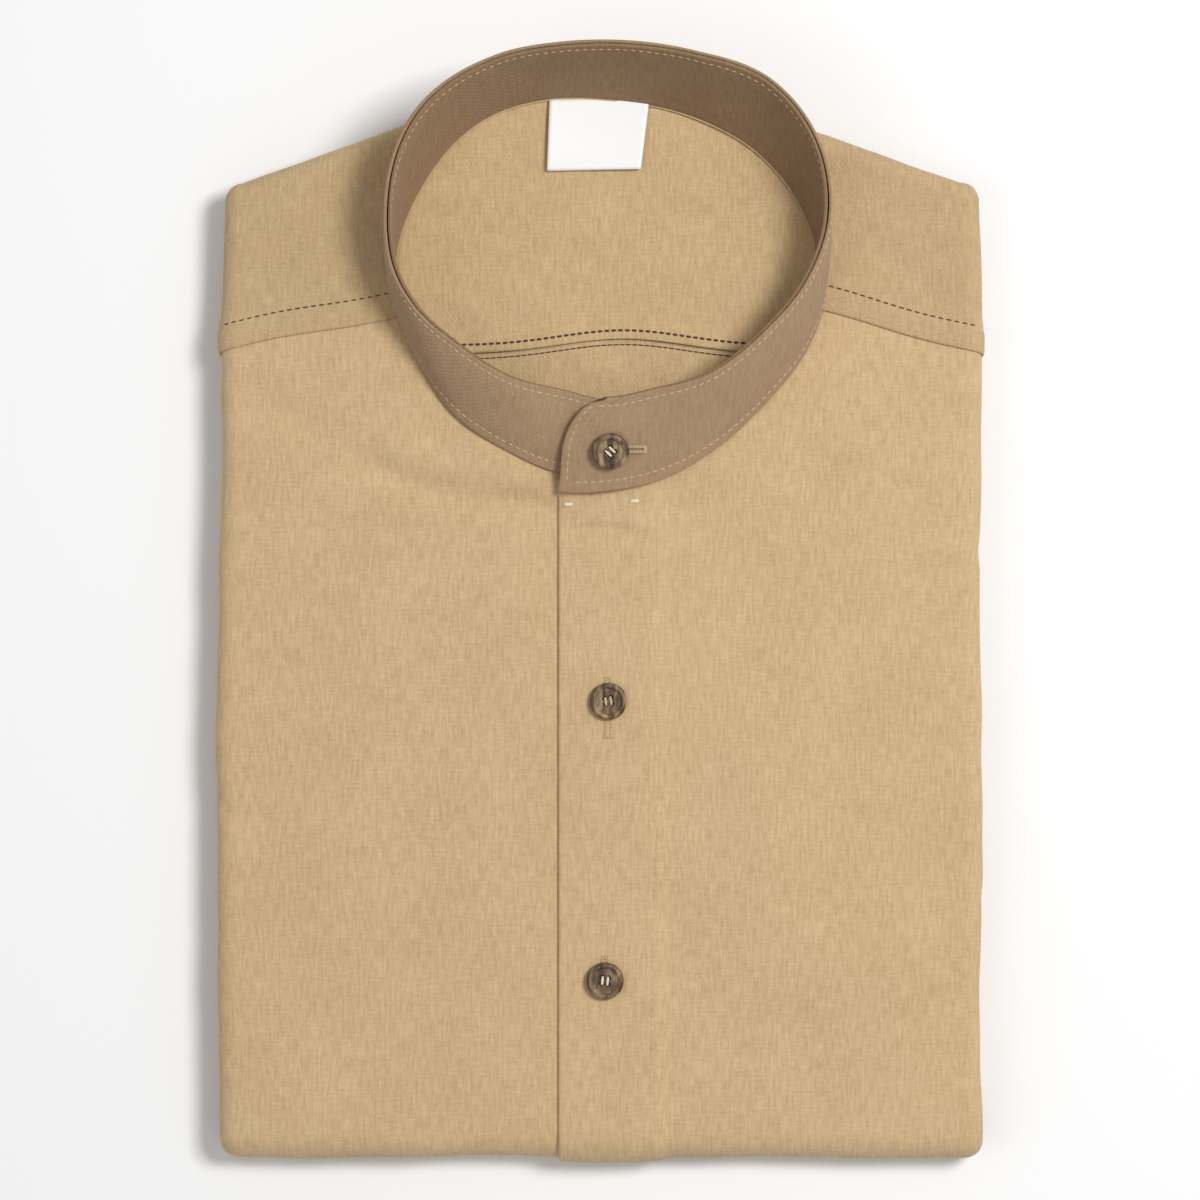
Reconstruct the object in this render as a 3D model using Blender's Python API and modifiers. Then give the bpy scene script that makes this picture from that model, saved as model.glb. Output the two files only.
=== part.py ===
"""A folded shirt with a mandarin (band) collar, lying on its back on a flat surface.

+X runs across the chest, +Y from the tail fold up to the back of the neck, +Z up from the surface.
The origin is on that surface, under the middle of the whole shirt. The cloth on top, round the edges
and in the neck is made of thin walls; the layers hidden by the folding are one rounded body.
"""

import math

import bmesh
import bpy
import numpy as np
from mathutils import Matrix, Vector

MM = 0.001

# ---- driving dimensions of the folded shirt ----
HALF_WIDTH = 117.0 * MM  # side fold to centre line
TAIL_FOLD_Y = -169.5 * MM  # the lower edge, where the body is folded in two
CHEST_TOP = 17.0 * MM  # height of the fronts above the surface
WALL = 1.0 * MM  # a cloth wall
GAP = 0.3 * MM  # clearance between neighbouring pieces
SHOULDER_Y = 147.5 * MM  # shoulder fold beside the neck
SHOULDER_X = 61.0 * MM
SHOULDER_SLOPE = 0.345
BACK_NECK_Y = 162.5 * MM  # fold behind the neck
BACK_NECK_SOFTNESS = 3.0 * MM

# ---- the two bundles of layers that the folding makes ----
UPPER_MIDDLE = 12.35 * MM  # middle height of the upper bundle
UPPER_HALF = 4.65 * MM  # half its thickness
TAIL_MIDDLE = 3.65 * MM
TAIL_HALF = 3.65 * MM
SIDE_ROLL = 5.5 * MM  # how far in from the edge the side fold starts to turn down
FOLD_MIDDLE = 8.0 * MM  # middle height of the tail fold, which joins the two bundles
FOLD_REACH = 8.5 * MM  # its depth along Y
FOLD_LIFT = 0.5 * MM  # the upper bundle is this much thicker than the middle of the fold
FOLD_PATH = 4.35 * MM  # radius of the fold at the side edges
TAIL_STEP = 5.0 * MM  # the tail ends this far inside the shoulder fold
CORE_CORNER = 10.0 * MM
WRAP_END = math.radians(145)  # the fronts end under the tail fold
TUCK = math.radians(112)  # the fronts and the yoke end under the side folds
SHOULDER_WRAP = math.radians(135)  # the yoke ends under the shoulder fold

# ---- button stand ----
PLACKET_EDGE_X = -13.0 * MM  # folded edge of the left front, which lies over the right
PLACKET_INNER_X = 17.0 * MM  # where the right front ends beneath it
PLACKET_RISE = WALL + GAP
PLACKET_SETTLE = 6.0 * MM  # the left front sinks to the body's level over this width

# ---- yoke seams, one on each front ----
YOKE_SEAM = {  # side: (x beside the neck, y there, fall per unit of width)
    "left": (68.0 * MM, 91.3 * MM, 0.262),
    "right": (-63.3 * MM, 89.7 * MM, 0.194),
}

# ---- the band collar, a row for each station round the neck ----
# Angles run anticlockwise from the wearer's front centre at -90; the left end laps over the right end.
# base and top are reaches of the band's middle line from the centres below, and heights are above the surface.
BASE_CENTRE = (2.3 * MM, 97.0 * MM)
TOP_CENTRE = (2.6 * MM, 116.0 * MM)
BAND_COLUMNS = ("angle", "base", "base_height", "top", "top_height")
BAND_STATIONS = (
    (-104, 61.8, 20.4, 53.0, 28.6),
    (-90, 59.8, 20.4, 52.8, 29.0),
    (-75, 58.5, 20.1, 52.0, 29.6),
    (-57, 57.2, 18.5, 54.4, 31.5),
    (-35, 58.0, 18.2, 57.0, 33.5),
    (-15, 62.6, 17.9, 62.2, 35.5),
    (0, 65.8, 17.6, 65.8, 37.6),
    (20, 66.1, 17.6, 67.1, 40.6),
    (40, 64.4, 17.9, 64.4, 42.4),
    (63, 61.0, 18.2, 56.6, 43.4),
    (90, 60.1, 18.3, 53.6, 43.8),
    (107, 62.9, 18.3, 55.2, 43.8),
    (124, 65.9, 18.1, 59.5, 43.6),
    (150, 66.7, 17.8, 66.4, 42.2),
    (178, 66.2, 17.6, 67.0, 38.6),
    (193, 62.8, 17.8, 66.2, 35.6),
    (204, 60.6, 18.0, 63.5, 33.6),
    (217, 59.3, 18.3, 59.0, 31.2),
    (238, 56.6, 18.5, 55.0, 27.8),
    (254, 56.3, 18.5, 52.3, 25.2),
    (270, 55.5, 18.5, 53.4, 24.3),
    (285, 55.0, 18.5, 53.4, 24.0),
)
BAND_WALL = 1.1 * MM
BAND_OFFSET = (BAND_WALL + 1.5 * GAP) / 2  # each wall's middle lies this far from the band's middle line
BAND_LEVELS = (0.0, 0.22, 0.45, 0.65, 0.84, 1.0)
BAND_STEP = 6.5  # degrees between the band's columns
TAB_ROUND = 13.0  # degrees by which the rounded corner of the overlapping end runs back
TAB_ROUND_FROM = 0.35  # share of the band's height where that rounding starts
TAB_SPREAD = 34.0  # degrees over which the columns close up towards it
NECK_SEAM = 2.2 * MM  # the panels run this far inside the band's middle line

# ---- inside of the neck ----
POCKET_BACK = (155.0 * MM, 14.2 * MM)  # y and height of the hollow's floor behind the neck
POCKET_FRONT = (36.0 * MM, 11.0 * MM)  # and at the front
INSIDE_SEAM_Y = 78.0 * MM  # lower edge of the inner yoke
LABEL_WIDTH = 30.0 * MM
LABEL_X = -0.6 * MM
LABEL_Y = (133.6 * MM, 152.8 * MM)

# ---- four-hole buttons ----
BUTTON_RADIUS = 5.7 * MM
BUTTON_THICK = 2.4 * MM
BUTTON_RIM = 1.5 * MM
BUTTON_DISH = 0.7 * MM
BUTTON_HOLE_RADIUS = 0.75 * MM
BUTTON_HOLE_REACH = 1.35 * MM
FRONT_BUTTONS = {  # name: (x, y)
    "button_front_1": (2.4 * MM, -28.9 * MM),
    "button_front_2": (1.4 * MM, -114.4 * MM),
}
COLLAR_BUTTON = (-89.5, 0.43)  # angle round the neck and share of the band's height

CLOTH = (0.58, 0.42, 0.25)
INNER_CLOTH = (0.50, 0.36, 0.21)
BUTTON_COLOUR = (0.19, 0.13, 0.08)
LABEL_COLOUR = (0.93, 0.93, 0.90)


def clear_scene():
    for obj in list(bpy.data.objects):
        bpy.data.objects.remove(obj, do_unlink=True)


def new_collection(name):
    made = bpy.data.collections.new(name)
    bpy.context.scene.collection.children.link(made)
    return made


def principled(name, colour, roughness):
    """A plain Principled BSDF of one colour."""
    made = bpy.data.materials.new(name)
    made.use_nodes = True
    shader = made.node_tree.nodes["Principled BSDF"]
    shader.inputs["Base Color"].default_value = (*colour, 1.0)
    shader.inputs["Roughness"].default_value = roughness
    shader.inputs["Metallic"].default_value = 0.0
    return made


def add_mesh(name, points, faces, material, collection):
    mesh = bpy.data.meshes.new(name)
    mesh.from_pydata([tuple(p) for p in points], [], faces)
    mesh.materials.append(material)
    mesh.validate()
    made = bpy.data.objects.new(name, mesh)
    collection.objects.link(made)
    return made


def grid_faces(rows, columns):
    """Quads of a grid whose points run row by row."""
    return [
        (i * columns + j, i * columns + j + 1, (i + 1) * columns + j + 1, (i + 1) * columns + j)
        for i in range(rows - 1)
        for j in range(columns - 1)
    ]


def cloth_wall(name, grid, thickness, offset, material, collection):
    """An open grid of cloth made a wall: offset -1 puts all of it under the grid, 0 half on each side."""
    rows, columns = grid.shape[:2]
    made = add_mesh(name, grid.reshape(-1, 3), grid_faces(rows, columns), material, collection)
    solid = made.modifiers.new("wall", "SOLIDIFY")
    solid.thickness = thickness
    solid.offset = offset
    solid.use_even_offset = True
    made.data.shade_smooth()
    made.data.set_sharp_from_angle(angle=math.radians(40))
    return made


# ---------------------------------------------------------------- form of the folded body


def shoulder_fold_y(x):
    """Outermost y of the top edge: two sloping shoulders that flatten into the back of the neck."""
    line = SHOULDER_Y + SHOULDER_SLOPE * (SHOULDER_X - np.abs(x))
    soft = BACK_NECK_SOFTNESS
    return BACK_NECK_Y - soft * np.log1p(np.exp((BACK_NECK_Y - line) / soft)) + 0 * x


def yoke_seam_y(x):
    """The seam between yoke and fronts, a straight fall from the neck to each side."""
    left_x, left_y, left_fall = YOKE_SEAM["left"]
    right_x, right_y, right_fall = YOKE_SEAM["right"]
    return np.where(x > 0, left_y - left_fall * (x - left_x), right_y + right_fall * (x - right_x))


def lay_on_body(across, along, lift):
    """Places a point of the flat cloth on the folded body, lift above its outer face.

    across past the flat width turns round a side fold; along below the tail fold's start turns round
    that fold, and above the shoulder's start round the shoulder fold, by the arc that is left over.
    """
    across, along, lift = np.broadcast_arrays(across, along, lift)
    flat = HALF_WIDTH - SIDE_ROLL
    side = np.sign(across)
    x_flat = np.clip(across, -flat, flat)
    turn = (np.abs(across) - np.abs(x_flat)) / SIDE_ROLL
    fold_y = TAIL_FOLD_Y + FOLD_REACH
    fold = np.clip((fold_y - along) / FOLD_REACH, 0, None)
    # Round the tail fold the side edge stays open, so it turns no further than straight down.
    quarter = math.pi / 2
    turn = np.where(turn > quarter, quarter + (turn - quarter) * np.clip(1 - 3 * fold, 0, 1), turn)
    start = shoulder_fold_y(x_flat) - SIDE_ROLL
    shoulder = np.clip((along - start) / SIDE_ROLL, 0, None)
    # The two turns meet in a corner as one turn of the larger angle, in the direction between them.
    together = np.maximum(turn, shoulder)
    length = np.maximum(np.hypot(turn, shoulder), 1e-12)
    x = x_flat + side * (SIDE_ROLL + lift) * np.sin(together) * turn / length
    y = np.minimum(along, start) + (SIDE_ROLL + lift) * np.sin(together) * shoulder / length
    z = UPPER_MIDDLE + (UPPER_HALF + lift) * np.cos(together)
    half = UPPER_HALF - FOLD_LIFT + FOLD_LIFT * np.cos(fold)
    reach = FOLD_PATH + (half + lift) * np.cos(turn)
    on_fold = fold > 0
    y = np.where(on_fold, fold_y - reach * np.sin(fold), y)
    z = np.where(on_fold, FOLD_MIDDLE + reach * np.cos(fold), z)
    return np.stack([x, y, z], axis=-1)


def side_columns():
    """Widths past the flat part that turn a cloth round a side fold, from the tuck inwards."""
    turns = np.radians((TUCK * 180 / math.pi, 90, 67.5, 45, 22.5))
    return HALF_WIDTH - SIDE_ROLL + SIDE_ROLL * turns


def body_outline():
    """Plan outline of the hidden body, anticlockwise from the lower left, with its outward normals."""
    corner, half = CORE_CORNER, HALF_WIDTH
    low = TAIL_FOLD_Y
    arc = np.radians(np.arange(-75, 1, 15.0))
    bottom = np.stack([np.linspace(-half + corner, half - corner, 13), np.full(13, low)], axis=1)
    lower_right = np.stack(
        [half - corner + corner * np.cos(arc), low + corner + corner * np.sin(arc)], axis=1
    )
    slope = math.atan(SHOULDER_SLOPE)
    tip_y = float(shoulder_fold_y(np.array(half - corner))) - corner / math.cos(slope)
    side = np.stack([np.full(5, half), np.linspace(low + corner, tip_y, 6)[1:]], axis=1)
    arc = np.linspace(0, math.pi / 2 - slope, 7)[1:]
    tip = np.stack([half - corner + corner * np.cos(arc), tip_y + corner * np.sin(arc)], axis=1)
    tip_end = half - corner + corner * math.sin(slope) - 2 * MM
    top_x = np.linspace(tip_end, -tip_end, 31)
    top = np.stack([top_x, shoulder_fold_y(top_x)], axis=1)
    right = np.concatenate([lower_right, side, tip])
    left = right[::-1] * np.array([-1, 1])
    points = np.concatenate([bottom, right, top, left])
    along = np.roll(points, -1, axis=0) - np.roll(points, 1, axis=0)
    normals = np.stack([along[:, 1], -along[:, 0]], axis=1)
    return points, normals / np.linalg.norm(normals, axis=1)[:, None]


def body_rings():
    """Rings of the hidden body from top to bottom: (inset at sides, height, inset at the fold, height, tail).

    At the sides they go round the upper bundle, into the groove and round the tail bundle. At the tail
    fold they go once round both. Under the fronts and the yoke they leave room for a wall and a gap.
    """
    room = WALL + GAP
    turns = np.radians(np.arange(0, 181, 30.0))
    covered = math.degrees(WRAP_END) + 3
    fold_angles = np.radians((0, 18, 36, 54, 72, 90, 105, 118, 130, 140, covered, covered + 3, 164, 180))
    rings = []
    for k, fold in enumerate(fold_angles):
        tail = k >= len(turns)
        if tail:
            turn = math.pi - turns[k - len(turns)]
            inset = SIDE_ROLL - (SIDE_ROLL - GAP) * math.sin(turn)
            height = TAIL_MIDDLE - TAIL_HALF * math.cos(turn)
        else:
            turn = turns[k]
            inset = SIDE_ROLL - (SIDE_ROLL - room) * math.sin(turn)
            height = UPPER_MIDDLE + (UPPER_HALF - room) * math.cos(turn)
        spare = room if fold <= math.radians(covered) + 1e-6 else 0.0
        above = CHEST_TOP - FOLD_MIDDLE if math.cos(fold) > 0 else FOLD_MIDDLE
        fold_inset = FOLD_REACH - (FOLD_REACH - spare) * math.sin(fold)
        fold_height = FOLD_MIDDLE + (above - spare) * math.cos(fold)
        rings.append((inset, height, fold_inset, fold_height, tail))
    return rings


def make_folded_layers(material, collection, cutters):
    outline, normals = body_outline()
    count = len(outline)
    at_fold = np.clip((-normals[:, 1] - 0.2) / 0.6, 0, 1)
    at_shoulder = np.clip((normals[:, 1] - 0.3) / 0.5, 0, 1)
    points, faces = [], []
    for inset, height, fold_inset, fold_height, tail in body_rings():
        inwards = inset + (fold_inset - inset) * at_fold + TAIL_STEP * at_shoulder * tail
        plan = outline - normals * inwards[:, None]
        z = height + (fold_height - height) * at_fold
        points.extend(np.column_stack([plan, z]))
    rings = len(points) // count
    for k in range(rings - 1):
        for j in range(count):
            after = (j + 1) % count
            faces.append((k * count + j, (k + 1) * count + j, (k + 1) * count + after, k * count + after))
    faces.append(tuple(range(count)))
    faces.append(tuple(reversed(range((rings - 1) * count, rings * count))))
    body = add_mesh("folded_layers", points, faces, material, collection)
    pocket = prism("neck_hollow", hollow_outline(0.0), hollow_floor, CHEST_TOP, material, cutters)
    pocket.hide_render = True
    pocket.display_type = "WIRE"
    cut = body.modifiers.new("neck_hollow", "BOOLEAN")
    cut.object = pocket
    cut.operation = "DIFFERENCE"
    cut.solver = "EXACT"
    return body


# ---------------------------------------------------------------- band collar


def station_values(angle):
    """The band's rows read at any angle, with a smooth cubic between rows."""
    rows = np.array(BAND_STATIONS, dtype=float)
    knots = rows[:, 0]
    angle = np.clip(angle, knots[0], knots[-1])
    at = np.clip(np.searchsorted(knots, angle, side="right") - 1, 0, len(knots) - 2)
    span = knots[at + 1] - knots[at]
    t = (angle - knots[at]) / span
    found = {}
    for column, name in enumerate(BAND_COLUMNS[1:], start=1):
        values = rows[:, column] * MM
        slopes = np.gradient(values, knots)
        found[name] = (
            (2 * t**3 - 3 * t**2 + 1) * values[at]
            + (t**3 - 2 * t**2 + t) * span * slopes[at]
            + (3 * t**2 - 2 * t**3) * values[at + 1]
            + (t**3 - t**2) * span * slopes[at + 1]
        )
    return found


def band_point(angle, level):
    """A point of the band's middle surface: straight from the neck seam (level 0) to the top edge (1)."""
    row = station_values(angle)
    turn = np.radians(angle)
    base = np.stack(
        [
            BASE_CENTRE[0] + row["base"] * np.cos(turn),
            BASE_CENTRE[1] + row["base"] * np.sin(turn),
            row["base_height"],
        ],
        axis=-1,
    )
    top = np.stack(
        [
            TOP_CENTRE[0] + row["top"] * np.cos(turn),
            TOP_CENTRE[1] + row["top"] * np.sin(turn),
            row["top_height"],
        ],
        axis=-1,
    )
    return base + (top - base) * np.asarray(level)[..., None]


def band_normal(angle, level):
    """Outward normal of the band's middle surface, from small steps round it and up it."""
    step = 0.5
    around = band_point(angle + step, level) - band_point(angle - step, level)
    up = band_point(angle, level * 0 + 1) - band_point(angle, level * 0)
    normal = np.cross(around, up)
    return normal / np.linalg.norm(normal, axis=-1)[..., None]


def make_band(name, side, material, collection):
    """One wall of the band: side 1 is the outer cloth, -1 the inner. Its left end is a rounded tab."""
    first, last = BAND_STATIONS[0][0], BAND_STATIONS[-1][0]
    columns = np.linspace(first, last, 1 + round((last - first) / BAND_STEP))
    level, angle = np.meshgrid(np.array(BAND_LEVELS), columns, indexing="ij")
    rise = np.clip((level - TAB_ROUND_FROM) / (1 - TAB_ROUND_FROM), 0, 1)
    start = first + TAB_ROUND * (1 - np.sqrt(1 - rise**2))
    share = np.clip((angle - first) / TAB_SPREAD, 0, 1)
    near_end = angle < first + TAB_SPREAD
    angle = np.where(near_end, start + (first + TAB_SPREAD - start) * share, angle)
    grid = band_point(angle, level) + side * BAND_OFFSET * band_normal(angle, level)
    return cloth_wall(name, grid, BAND_WALL, 0.0, material, collection)


def neck_edge(first, last, inside):
    """Plan points of the neck edge between two angles, inside the band's middle line."""
    angle = np.arange(first, last + 0.1, 4.0)
    reach = station_values(angle)["base"] - inside
    turn = np.radians(angle)
    return BASE_CENTRE[0] + reach * np.cos(turn), BASE_CENTRE[1] + reach * np.sin(turn)


# ---------------------------------------------------------------- inside of the neck


def hollow_floor(y):
    """Height of the neck hollow's floor, a plane that falls towards the front."""
    (back_y, back_z), (front_y, front_z) = POCKET_BACK, POCKET_FRONT
    return front_z + (back_z - front_z) * (y - front_y) / (back_y - front_y)


def hollow_outline(inset):
    """Plan outline of the neck hollow: it runs under the fronts, and stops at the band behind the neck."""
    angle = np.arange(-100, 260, 8.0)
    turn = np.radians(angle)
    beyond = (2.0 - 3.0 * np.sin(turn)) * MM
    reach = station_values(angle)["base"] + beyond - inset
    return np.stack([BASE_CENTRE[0] + reach * np.cos(turn), BASE_CENTRE[1] + reach * np.sin(turn)], axis=1)


def prism(name, outline, bottom, top, material, collection):
    """A solid over a plan outline: bottom and top are heights, or functions of y that give planes."""
    low = [(x, y, bottom(y) if callable(bottom) else bottom) for x, y in outline]
    high = [(x, y, top(y) if callable(top) else top) for x, y in outline]
    count = len(outline)
    faces = [tuple(reversed(range(count))), tuple(range(count, 2 * count))]
    faces += [(j, (j + 1) % count, count + (j + 1) % count, count + j) for j in range(count)]
    return add_mesh(name, low + high, faces, material, collection)


def above_floor(lift):
    return lambda y: hollow_floor(y) + lift


def cut_outline(outline, y, keep_above):
    """The part of a closed plan outline above or below a line of constant y."""
    kept = []
    for (ax, ay), (bx, by) in zip(outline, np.roll(outline, -1, axis=0)):
        inside = (ay > y) == keep_above
        if inside:
            kept.append((ax, ay))
        if (ay > y) != (by > y):
            share = (y - ay) / (by - ay)
            kept.append((ax + share * (bx - ax), y))
    return kept


def make_inside(material_yoke, material_back, material_label, collection):
    outline = hollow_outline(GAP)
    under, over = above_floor(GAP), above_floor(GAP + WALL)
    upper = cut_outline(outline, INSIDE_SEAM_Y + GAP / 2, True)
    prism("yoke_inside", upper, under, over, material_yoke, collection)
    lower = cut_outline(outline, INSIDE_SEAM_Y - GAP / 2, False)
    prism("back_inside", lower, under, over, material_back, collection)
    low, high = LABEL_Y
    left, right = LABEL_X - LABEL_WIDTH / 2, LABEL_X + LABEL_WIDTH / 2
    corners = [(left, low), (right, low), (right, high), (left, high)]
    label_under, label_over = above_floor(2 * GAP + WALL), above_floor(2 * GAP + 2 * WALL)
    prism("neck_label", corners, label_under, label_over, material_label, collection)


# ---------------------------------------------------------------- fronts and yoke


def panel(name, across, low, high, rows, lift, extra_low, extra_high, material, collection):
    """A cloth between two edges, low and high, given as y for each width, with rows that wrap further."""
    shares = np.linspace(0, 1, rows)[:, None]
    along = low + (high - low) * shares
    if extra_low is not None:
        along = np.concatenate([np.repeat(extra_low[:, None], len(across), axis=1), along[1:]])
    if extra_high is not None:
        along = np.concatenate([along, along[-1:] + extra_high[:, None]])
    grid = lay_on_body(across[None, :], along, lift[None, :])
    return cloth_wall(name, grid, WALL, -1.0, material, collection)


def tail_fold_rows():
    """Rows of a front round the tail fold, from under the shirt up to where its top starts."""
    turns = np.array([WRAP_END, *np.radians((126, 108, 90, 72, 54, 36, 18, 0))])
    return TAIL_FOLD_Y + FOLD_REACH - FOLD_REACH * turns


def make_fronts(material_left, material_right, collection):
    flat = HALF_WIDTH - SIDE_ROLL
    start = TAIL_FOLD_Y + FOLD_REACH
    rows = tail_fold_rows()
    # Wearer's left front, over the button stand.
    neck_x, neck_y = neck_edge(-104, 4, NECK_SEAM)
    widest = neck_x.max()
    stand = np.array([PLACKET_EDGE_X, PLACKET_INNER_X, PLACKET_INNER_X + PLACKET_SETTLE])
    stand = np.insert(stand, 2, PLACKET_INNER_X + PLACKET_SETTLE / 2)
    across = np.concatenate([stand, neck_x[neck_x > stand[0] + MM], [widest + MM, 85 * MM, flat]])
    across = np.unique(np.round(np.concatenate([across, side_columns()]), 6))
    arc = np.interp(across, neck_x, neck_y)
    seam = yoke_seam_y(across) - GAP / 2
    high = np.where(across > widest, seam, np.minimum(arc, seam))
    share = np.clip((PLACKET_INNER_X + PLACKET_SETTLE - across) / PLACKET_SETTLE, 0, 1)
    panel("front_left", across, start, high, 9, PLACKET_RISE * share, rows, None, material_left, collection)
    # Wearer's right front, which runs on beneath the button stand.
    neck_x, neck_y = neck_edge(176, 285, NECK_SEAM)
    widest = neck_x.min()
    inner_end = PLACKET_INNER_X - GAP
    across = np.concatenate([-side_columns(), [-flat, -85 * MM, widest - MM], neck_x])
    across = np.unique(np.round(np.append(across[across < inner_end - MM], inner_end), 6))
    arc = np.interp(across, neck_x, neck_y)
    seam = yoke_seam_y(across) - GAP / 2
    high = np.where(across < widest, seam, np.minimum(arc, seam))
    panel("front_right", across, start, high, 9, 0 * across, rows, None, material_right, collection)


def make_yoke(material, collection):
    flat = HALF_WIDTH - SIDE_ROLL
    neck_x, neck_y = neck_edge(8, 172, NECK_SEAM)
    order = np.argsort(neck_x)
    neck_x, neck_y = neck_x[order], neck_y[order]
    least, most = neck_x.min(), neck_x.max()
    sides = np.concatenate([side_columns(), [flat, 85 * MM]])
    across = np.concatenate([sides, -sides, neck_x, [least - 0.5 * MM, most + 0.5 * MM]])
    across = np.unique(np.round(across, 6))
    in_neck = (across > least - 0.1 * MM) & (across < most + 0.1 * MM)
    arc = np.interp(across, neck_x, neck_y)
    low = np.where(in_neck, arc, yoke_seam_y(across) + GAP / 2)
    high = shoulder_fold_y(np.clip(across, -flat, flat)) - SIDE_ROLL
    wrap = SIDE_ROLL * np.radians((22.5, 45, 67.5, 90, 112.5, math.degrees(SHOULDER_WRAP)))
    panel("yoke", across, low, high, 5, 0 * across, None, wrap, material, collection)


# ---------------------------------------------------------------- buttons


def make_button(name, place, material, collection, cutters):
    """A turned four-hole button with a raised rim and a dished middle, lying in the plane of place."""
    r, thick, rim = BUTTON_RADIUS, BUTTON_THICK, BUTTON_RIM
    profile = [
        (0.0, 0.0, thick - BUTTON_DISH),
        (r - rim - 0.6 * MM, 0.0, thick - BUTTON_DISH),
        (r - rim, 0.0, thick - 0.1 * MM),
        (r - rim / 2, 0.0, thick),
        (r - 0.3 * MM, 0.0, thick - 0.3 * MM),
        (r, 0.0, thick * 0.6),
        (r - 0.4 * MM, 0.0, thick * 0.25),
        (r - rim - 0.6 * MM, 0.0, 0.0),
        (0.0, 0.0, 0.0),
    ]
    mesh = bpy.data.meshes.new(name)
    mesh.from_pydata(profile, [(i, i + 1) for i in range(len(profile) - 1)], [])
    mesh.materials.append(material)
    made = bpy.data.objects.new(name, mesh)
    collection.objects.link(made)
    made.matrix_world = place
    turned = made.modifiers.new("turned", "SCREW")
    turned.axis = "Z"
    turned.steps = turned.render_steps = 32
    turned.use_merge_vertices = True
    turned.merge_threshold = 0.00001
    for index in range(4):
        turn = math.radians(45 + 90 * index)
        centre = Vector((math.cos(turn), math.sin(turn), 0)) * BUTTON_HOLE_REACH
        centre.z = thick / 2
        bpy.ops.mesh.primitive_cylinder_add(
            vertices=10, radius=BUTTON_HOLE_RADIUS, depth=thick * 3, location=(0, 0, 0)
        )
        drill = bpy.context.active_object
        drill.name = f"{name}_hole_{index + 1}"
        drill.matrix_world = place @ Matrix.Translation(centre)
        for home in list(drill.users_collection):
            home.objects.unlink(drill)
        cutters.objects.link(drill)
        drill.hide_render = True
        drill.display_type = "WIRE"
        cut = made.modifiers.new(drill.name, "BOOLEAN")
        cut.object = drill
        cut.operation = "DIFFERENCE"
        cut.solver = "EXACT"
    return made


def make_buttons(collection, cutters):
    level = CHEST_TOP + PLACKET_RISE + GAP
    for name, (x, y) in FRONT_BUTTONS.items():
        material = principled(name, BUTTON_COLOUR, 0.35)
        make_button(name, Matrix.Translation((x, y, level)), material, collection, cutters)
    angle, share = (np.array(value) for value in COLLAR_BUTTON)
    normal = Vector(band_normal(angle, share))
    seat = Vector(band_point(angle, share)) + normal * (BAND_OFFSET + BAND_WALL / 2 + GAP)
    place = Matrix.Translation(seat) @ normal.to_track_quat("Z", "X").to_matrix().to_4x4()
    make_button("button_collar", place, principled("button_collar", BUTTON_COLOUR, 0.5), collection, cutters)


def main():
    clear_scene()
    shirt = new_collection("mandarin_collar_shirt")
    cutters = new_collection("cutters")
    make_folded_layers(principled("folded_layers", INNER_CLOTH, 0.9), shirt, cutters)
    make_fronts(principled("front_left", CLOTH, 0.9), principled("front_right", CLOTH, 0.9), shirt)
    make_yoke(principled("yoke", CLOTH, 0.9), shirt)
    inner = principled("yoke_inside", INNER_CLOTH, 0.9), principled("back_inside", INNER_CLOTH, 0.9)
    make_inside(*inner, principled("neck_label", LABEL_COLOUR, 0.45), shirt)
    make_band("collar_outer", 1, principled("collar_outer", CLOTH, 0.9), shirt)
    make_band("collar_inner", -1, principled("collar_inner", INNER_CLOTH, 0.9), shirt)
    make_buttons(shirt, cutters)


main()
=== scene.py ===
import math

import bpy
import numpy as np
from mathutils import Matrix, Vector


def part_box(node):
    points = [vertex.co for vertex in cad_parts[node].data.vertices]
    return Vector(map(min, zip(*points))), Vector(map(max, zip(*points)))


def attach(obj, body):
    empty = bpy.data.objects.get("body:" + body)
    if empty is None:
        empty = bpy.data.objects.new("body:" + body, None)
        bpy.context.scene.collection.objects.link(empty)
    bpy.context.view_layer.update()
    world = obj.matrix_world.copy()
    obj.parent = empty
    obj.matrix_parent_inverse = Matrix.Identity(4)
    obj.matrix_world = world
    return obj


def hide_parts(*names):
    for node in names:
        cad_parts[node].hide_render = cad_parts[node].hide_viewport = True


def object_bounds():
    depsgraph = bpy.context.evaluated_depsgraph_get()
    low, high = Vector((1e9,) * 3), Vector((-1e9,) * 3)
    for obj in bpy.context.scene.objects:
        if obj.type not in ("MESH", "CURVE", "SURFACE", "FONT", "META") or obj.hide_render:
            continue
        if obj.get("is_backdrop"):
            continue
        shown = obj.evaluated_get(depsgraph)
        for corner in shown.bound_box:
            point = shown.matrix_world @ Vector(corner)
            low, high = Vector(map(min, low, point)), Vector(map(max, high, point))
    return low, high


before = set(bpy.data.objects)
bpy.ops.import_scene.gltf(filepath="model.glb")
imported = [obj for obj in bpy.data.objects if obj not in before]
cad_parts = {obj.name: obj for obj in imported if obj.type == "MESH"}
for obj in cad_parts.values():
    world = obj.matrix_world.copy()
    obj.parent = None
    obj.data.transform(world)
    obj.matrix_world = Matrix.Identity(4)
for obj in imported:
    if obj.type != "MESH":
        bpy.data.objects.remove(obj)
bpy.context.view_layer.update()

MM = 0.001

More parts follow.
